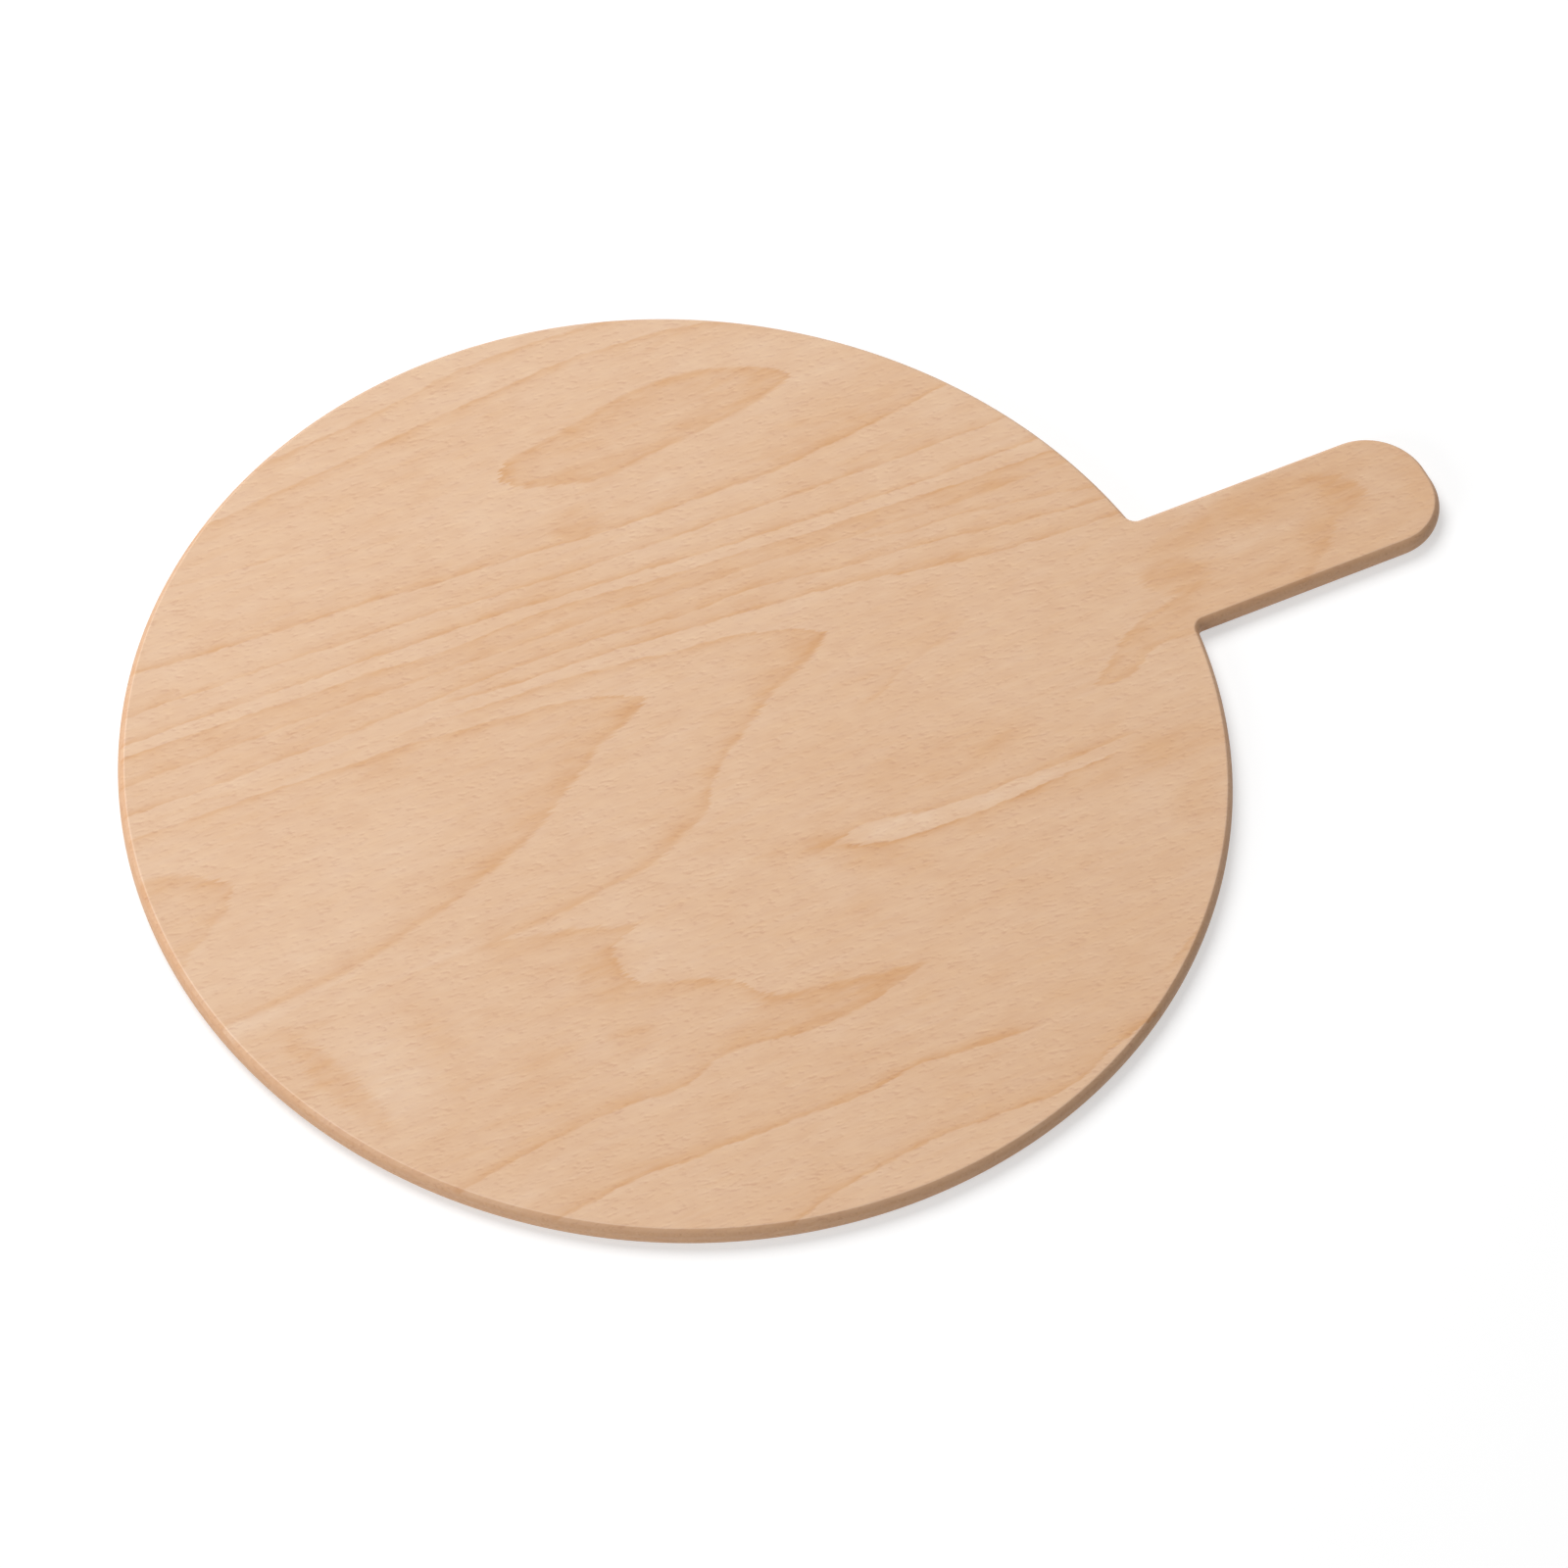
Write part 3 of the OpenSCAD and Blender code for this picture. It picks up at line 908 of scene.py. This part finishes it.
# %% [markdown]
# Each growth line is a distance to its curve. The ring group turns that distance into brown and
# pale, and a window shows it only between its start and its end. The values wait in a list until
# everything is drawn, and are added up then.

# %% Draw the growth lines
values = []
for side, edge, fade, strength, start, end, points in GROWTH_LINES:
    away_mm = calc(tree, "SUBTRACT", across, drawn(tree, along, points))
    away_mm = calc(tree, "MULTIPLY", away_mm, float(side))
    seen = calc(tree, "MULTIPLY", window(tree, x, start, end), strength)
    line = use_group(tree, ring_line, distance=away_mm, edge=edge, fade=fade, strength=seen)
    values.append(line.outputs["Value"])
print("lines drawn:", len(values))

# %% [markdown]
# A crown needs two distances: how far we are below its upper curve and above its lower one. A flank
# that shows only in part has a strength or a fade that is itself a slow ramp along the board. The
# ragged contour is a crown whose upper edge is three curves, joined by a minimum and a maximum.

# %% Draw the crowns and islands
def below(points):
    return calc(tree, "SUBTRACT", drawn(tree, along, points), across)


def above(points):
    return calc(tree, "SUBTRACT", across, drawn(tree, along, points))


def add_crown(upper, lower, edges, fades, strengths, tip, shows=1.0):
    """Puts in one crown. Pairs are for its upper and its lower flank."""
    step = use_group(tree, crown, upper=upper, lower=lower, upper_edge=edges[0], lower_edge=edges[1],
                     upper_fade=fades[0], lower_fade=fades[1], upper_strength=strengths[0],
                     lower_strength=strengths[1], tip=tip)
    values.append(calc(tree, "MULTIPLY", step.outputs["Value"], shows))


add_crown(below(OVAL_TOP), above(OVAL_FOOT), (2.2, 2.2), (6.5, 4.5), (1.0, 0.9), 0.9)
slope_fade = span(tree, x, -110, -50, 2.6, 9.0)
add_crown(below(CROWN_1_TOP), above(CROWN_1_FOOT), (1.1, 3.0), (2.4, slope_fade), (0.85, 1.0), 0.9)
top_shows = span(tree, x, -80, -30, 0.3, 0.95)
foot_shows = span(tree, x, -92, -80, 0.0, 1.1)
foot_fade = span(tree, x, -40, 0, 2.2, 7.0)
add_crown(below(CROWN_2_TOP), above(CROWN_2_FOOT), (1.1, 3.0), (2.4, foot_fade),
          (top_shows, foot_shows), 0.45)
add_crown(below(CROWN_0_TOP), above(CROWN_0_FOOT), (2.5, 3.0), (5.0, 6.0), (0.6, 0.6), 0.5)

ragged_in = calc(tree, "SUBTRACT", drawn(tree, across, RAGGED_END), along)
ragged = calc(tree, "MAXIMUM", calc(tree, "MINIMUM", below(RAGGED_TOP), ragged_in), below(RAGGED_LOW))
ragged_shows = span(tree, x, -90, -80, 0.25, 1.0)
add_crown(ragged, above(RAGGED_FOOT), (2.5, 1.4), (5.0, 3.2), (ragged_shows, 1.1), 0.1)

at_neck = window(tree, x, 120, 175)
add_crown(below(WEDGE_TOP), above(WEDGE_FOOT), (2.0, 1.5), (6.0, 6.0), (0.8, 0.8), 0.1, at_neck)
on_handle = window(tree, x, 172, 300)
add_crown(below(ARCH_TOP), above(ARCH_FOOT), (4.0, 4.0), (9.0, 8.0), (0.45, 0.6), 0.4, on_handle)
print("lines and crowns:", len(values))

# %% [markdown]
# The pale lens and the streak at the left rim are slivers between two curves, with no ring line
# round them. The smooth minimum keeps their ends from being too pointed.

# %% Lay on the pale slivers and the patches
SLIVER_VALUE = -0.5
SLIVER_SPAN = (-1.0, 2.0)
SLIVER_ROUNDING = 1.5

for top, foot in ((LENS_TOP, LENS_FOOT), (STREAK_TOP, STREAK_FOOT)):
    sliver = calc(tree, "SMOOTH_MIN", below(top), above(foot), SLIVER_ROUNDING)
    values.append(calc(tree, "MULTIPLY", span(tree, sliver, *SLIVER_SPAN), SLIVER_VALUE))
for px, py, long, wide, turn, soft, value in PATCHES:
    spot = patch(tree, moved_place, px, py, long, wide, turn, soft)
    values.append(calc(tree, "MULTIPLY", spot, value))
total = values[0]
for value in values[1:]:
    total = calc(tree, "ADD", total, value)
print("values added up:", len(values))

# %% [markdown]
# No line is equally strong all along, so an uneven noise multiplies the sum. Clouds, fine streaks
# and small blotches fill the plain wood between the lines. On top of that comes painted light: a
# slow painted shade makes the near side and the handle a little browner, and a painted sheen
# makes the left a little paler.

# %% Unevenness, clouds and painted light
UNEVEN_SHARE = 2.6
UNEVEN_BASE = -0.25
CLOUD_SHARE = 1.15
STREAK_SHARE = 0.6
BLOTCH_SHARE = 0.9
PAINTED_SHADE_ACROSS = -0.0016
PAINTED_SHADE_BASE = 0.02
PAINTED_SHADE_ON_HANDLE = 0.36
PAINTED_SHEEN_ON_LEFT = 0.16
PALEST = -1.0
BROWNEST = 1.8

clouds = noise_about_0(tree, place, 45.0, 16.0, 3.0, shift=33.0)
total = calc(tree, "MULTIPLY_ADD", clouds, CLOUD_SHARE, total)
streaks = noise_about_0(tree, moved_place, 60.0, 1.6, 3.0, shift=55.0)
total = calc(tree, "MULTIPLY_ADD", streaks, STREAK_SHARE, total)
blotch = noise_about_0(tree, moved_place, 14.0, 6.0, 2.0, shift=47.0)
total = calc(tree, "MULTIPLY_ADD", blotch, BLOTCH_SHARE, total)
uneven = noise(tree, place, 14.0, 4.0, 3.0, shift=8.0)
uneven = calc(tree, "MULTIPLY_ADD", uneven, UNEVEN_SHARE, UNEVEN_BASE)
total = calc(tree, "MULTIPLY", total, uneven)
# Painted light across the face: painted shade towards the near side and on the handle, a paler painted
# sheen on the left.
tone = calc(tree, "MULTIPLY_ADD", y, PAINTED_SHADE_ACROSS, PAINTED_SHADE_BASE)
tone = calc(tree, "MULTIPLY_ADD", span(tree, x, 160, 190), PAINTED_SHADE_ON_HANDLE, tone)
tone = calc(tree, "MULTIPLY_ADD", span(tree, x, -150, -40, -1.0, 0.0), PAINTED_SHEEN_ON_LEFT, tone)
total = calc(tree, "ADD", total, tone)
total = calc(tree, "MINIMUM", calc(tree, "MAXIMUM", total, PALEST), BROWNEST)
end_wood(tree, place, total)
print("serving face:", len(tree.nodes), "nodes")

# %% [markdown]
# ## The other finishes
# Nobody sees more of the inner veneers than their edges on the side of the board, where they show
# long fibres or end grain depending on which way the sheet lies. The underside is a plain straight
# figure: rings cut nearly square, which a noise drawn out along the grain describes well enough.

# %% Wood of the underside
UNDER_SHARE = 3.2
UNDER_BROWNEST = 1.4

under_wood, tree, place = start_wood("beech_underside")
broad = noise_about_0(tree, place, 260.0, 9.0, 3.0, 2.0, 12.0)
streaks = noise_about_0(tree, place, 60.0, 1.6, 3.0, shift=55.0)
total = calc(tree, "MULTIPLY_ADD", broad, UNDER_SHARE, streaks)
end_wood(tree, place, calc(tree, "MINIMUM", calc(tree, "MAXIMUM", total, PALEST), UNDER_BROWNEST))
print("underside:", len(tree.nodes), "nodes")

# %% Wood of the inner veneers
EDGE_STREAKS = 1.5


def veneer_wood(name, turn, shade):
    """A veneer's edge: fibres along the board, or turned a quarter for a cross veneer."""
    finish, tree, place = start_wood(name)
    quarter = tree.nodes.new("ShaderNodeMapping")
    quarter.inputs["Rotation"].default_value = (0, 0, math.radians(turn))
    tree.links.new(place, quarter.inputs["Vector"])
    streaks = noise_about_0(tree, quarter.outputs[0], 30.0, 1.2, shift=5.0)
    end_wood(tree, quarter.outputs[0], calc(tree, "MULTIPLY_ADD", streaks, EDGE_STREAKS, shade))
    print(name + ":", len(tree.nodes), "nodes")
    return finish


long_wood = veneer_wood("beech_long_veneer", 0, 0.1)
cross_wood = veneer_wood("beech_cross_veneer", 90, 0.4)

# %% Dress the sheets
FINISHES = {
    "top_sheet": (face_wood, "top_face_wood"),
    "upper_cross_sheet": (cross_wood, "cross_wood"),
    "upper_long_sheet": (long_wood, "long_wood"),
    "centre_cross_sheet": (cross_wood, "cross_wood"),
    "lower_long_sheet": (long_wood, "long_wood"),
    "lower_cross_sheet": (cross_wood, "cross_wood"),
    "bottom_sheet": (under_wood, "bottom_face_wood"),
}
for name, (finish, slot) in FINISHES.items():
    sheets[name].data.materials.clear()
    sheets[name].data.materials.append(finish)
    print(name, "wears", finish.name)
